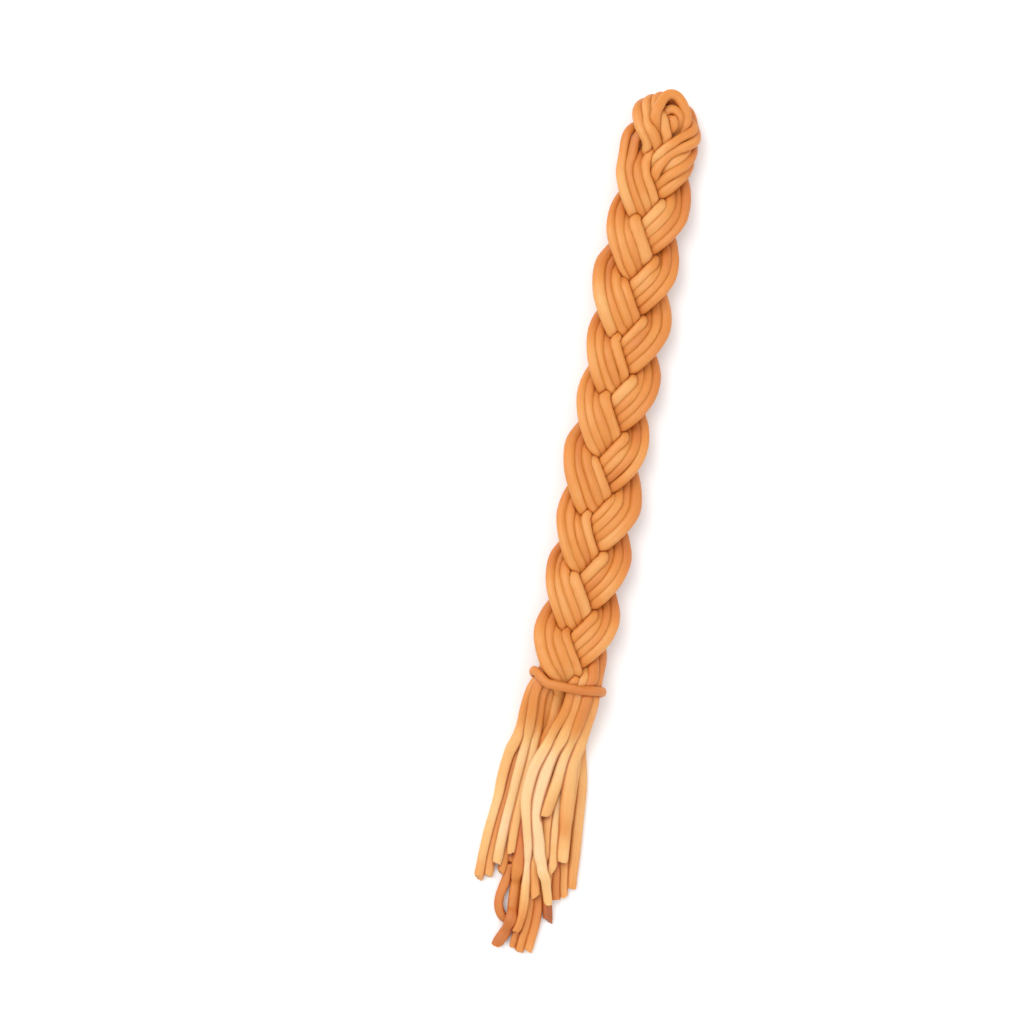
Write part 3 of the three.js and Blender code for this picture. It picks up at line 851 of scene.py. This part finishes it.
def smoked_curd(name, tint=0.0):
    """The cheese's material, with tint added to the smoke and shade number all over."""
    material = bpy.data.materials.new(name)
    material.use_nodes = True
    material.node_tree.nodes.clear()
    place = node(material, "TexCoord").outputs["Object"]
    cloud = node(material, "TexNoise", {"Scale": CLOUD_SCALE, "Detail": 3.0, "Roughness": 0.55}, Vector=place)
    clouds = {"To Min": tint - CLOUD_CHANGE, "To Max": tint + CLOUD_CHANGE}
    cloud_amount = node(material, "MapRange", clouds, Value=cloud.outputs["Fac"])
    straight = node(material, "Attribute", {"attribute_name": "straight"})
    stretched = node(material, "Mapping", {"Scale": FIBRE_SCALES}, Vector=straight.outputs["Vector"])
    fine = {"Scale": 1.0, "Detail": 2.0, "Roughness": 0.5}
    fibres = node(material, "TexNoise", fine, Vector=stretched.outputs["Vector"])
    streaks = {"To Min": -FIBRE_CHANGE, "To Max": FIBRE_CHANGE}
    streak = node(material, "MapRange", streaks, Value=fibres.outputs["Fac"])
    add = {"operation": "ADD"}
    uneven = node(material, "Math", add, _0=cloud_amount.outputs["Result"], _1=streak.outputs["Result"])
    smoke = node(material, "Attribute", {"attribute_name": "smoke"})
    level = node(material, "Math", add, _0=smoke.outputs["Fac"], _1=uneven.outputs["Value"])
    ramp = node(material, "ValToRGB", Fac=level.outputs["Value"])
    stops = ramp.color_ramp.elements
    while len(stops) < len(SMOKE_COLOURS):
        stops.new(0.5)
    for stop, (position, colour) in zip(stops, SMOKE_COLOURS):
        stop.position = position
        stop.color = linear(colour)
    colour = ramp.outputs["Color"]
    # Painted shade: the seam number mixes the two dark seam colours into the curd's colour.
    pressed = node(material, "Attribute", {"attribute_name": "pressed"})
    for shade, low, high, most in SEAM_SHADE_COLOURS:
        reach = {"From Min": low, "From Max": high, "To Max": most}
        amount = node(material, "MapRange", reach, Value=pressed.outputs["Fac"])
        mixed = node(material, "Mix", {"data_type": "RGBA"}, Factor=amount.outputs["Result"], _6=colour)
        mixed.inputs[7].default_value = linear(shade)
        colour = mixed.outputs[2]
    fibre_bump = node(material, "Bump", {"Strength": 0.4, "Distance": 0.00015}, Height=fibres.outputs["Fac"])
    lumps = node(material, "TexNoise", {"Scale": LUMP_SCALE, "Detail": 2.0}, Vector=place)
    small = {"Strength": 0.3, "Distance": 0.0002}
    bump = node(material, "Bump", small, Height=lumps.outputs["Fac"], Normal=fibre_bump.outputs["Normal"])
    skin = {"Roughness": 0.48, "IOR": 1.46}
    inside = {"Subsurface Weight": 0.35, "Subsurface Radius": (1.0, 0.45, 0.18), "Subsurface Scale": 0.0025}
    shader = node(material, "BsdfPrincipled", {**skin, **inside}, Base_Color=colour, Normal=bump.outputs["Normal"])
    node(material, "OutputMaterial", Surface=shader.outputs["BSDF"])
    return material


curd = smoked_curd("smoked_pulled_curd")
tie_curd = smoked_curd("smoked_pulled_curd_tie", tint=0.02)
for name, piece in strings.items():
    piece.data.materials.clear()
    piece.data.materials.append(tie_curd if name.startswith("tie") else curd)
print("the cheese has", len(curd.node_tree.nodes), "nodes in its material")

# %% [markdown]
# ## What each string stands for
# The imported solids are stand-ins for the strings, so each kind of string hides the solid that it replaces. Nothing
# moves on a braid, so all ride on its one body.

# %% Tie the strings to the frame
SOLIDS = {
    "folded": ("folded_strands", "smoked_cheese"),
    "looped": ("looped_strand", "smoked_cheese_short_strand"),
    "tie": ("tie_string", "smoked_cheese_tie"),
}
for name, piece in strings.items():
    solid, finish = SOLIDS[name.split("_")[0]]
    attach(piece, "root")
    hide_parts(solid)
print(len(strings), "strings replace", len(SOLIDS), "solids")

# %% [markdown]
# ## The table
# The braid lies on a plain pale board with a matt coat of paint, a fifth of a millimetre below it so that the two
# never share a plane. The board is part of the stage and not of the braid.

# %% The table
TABLE_SIZE = 6
TABLE_GAP = 0.0002
bpy.ops.object.select_all(action="DESELECT")
bpy.ops.mesh.primitive_plane_add(size=TABLE_SIZE, location=(0, 0, -TABLE_GAP))
table = bpy.context.object
table.name = "table"
table_paint = bpy.data.materials.new("matt_white_board")
table_paint.use_nodes = True
table_shader = table_paint.node_tree.nodes["Principled BSDF"]
table_shader.inputs["Base Color"].default_value = linear("#f4f4f4")
table_shader.inputs["Roughness"].default_value = 0.8
table.data.materials.append(table_paint)
print("the table is", TABLE_SIZE, "m square")

# %% [markdown]
# ## Light
# A large soft light on the left, above the crown, shows the roundness of each string. A weaker one on the right,
# nearer to the tails, and a white sky keep the seams from going black.

# %% Light
KEY_POWER = 23
FILL_POWER = 9.6
SKY_STRENGTH = 0.82


def softbox(name, place, power, size=1.6):
    """A square soft light that looks at the braid."""
    light = bpy.data.lights.new(name, "AREA")
    light.energy = power
    light.size = size
    light.color = linear("#ffffff")[:3]
    lamp = bpy.data.objects.new(name, light)
    bpy.context.scene.collection.objects.link(lamp)
    lamp.location = place
    lamp.rotation_euler = (-Vector(place)).to_track_quat("-Z", "Y").to_euler()
    return lamp


lamps = [
    softbox("key_light", (-0.8, 0.5, 1.5), KEY_POWER),
    softbox("fill_light", (1.2, -0.4, 1.4), FILL_POWER),
]
sky = bpy.data.worlds.new("studio")
sky.use_nodes = True
sky.node_tree.nodes["Background"].inputs["Color"].default_value = linear("#ffffff")
sky.node_tree.nodes["Background"].inputs["Strength"].default_value = SKY_STRENGTH
bpy.context.scene.world = sky
bpy.context.scene.view_settings.view_transform = "Standard"
print("lights:", ", ".join(lamp.name for lamp in lamps))

# %% [markdown]
# ## Camera
# The camera looks straight down, turned a little, so that the braid leans to the right. The lens is worked out from
# the width it has to take in at the braid's middle height.

# %% Camera
FRAME_WIDTH = 373.2
AIM = (-30.3, -2.1)
TURN = 9.63
HEIGHT = 1.5
BRAID_HEIGHT = 0.008
SENSOR = 36
camera_data = bpy.data.cameras.new("camera")
camera_data.sensor_width = SENSOR
camera_data.lens = SENSOR * (HEIGHT - BRAID_HEIGHT) / (FRAME_WIDTH * MM)
camera_data.clip_end = 20
camera = bpy.data.objects.new("camera", camera_data)
bpy.context.scene.collection.objects.link(camera)
camera.location = ((MIDDLE_X + AIM[0]) * MM, (MIDDLE_Y + AIM[1]) * MM, HEIGHT)
camera.rotation_euler = (0, 0, math.radians(TURN))
bpy.context.scene.camera = camera
print("the lens is", round(camera_data.lens), "mm")
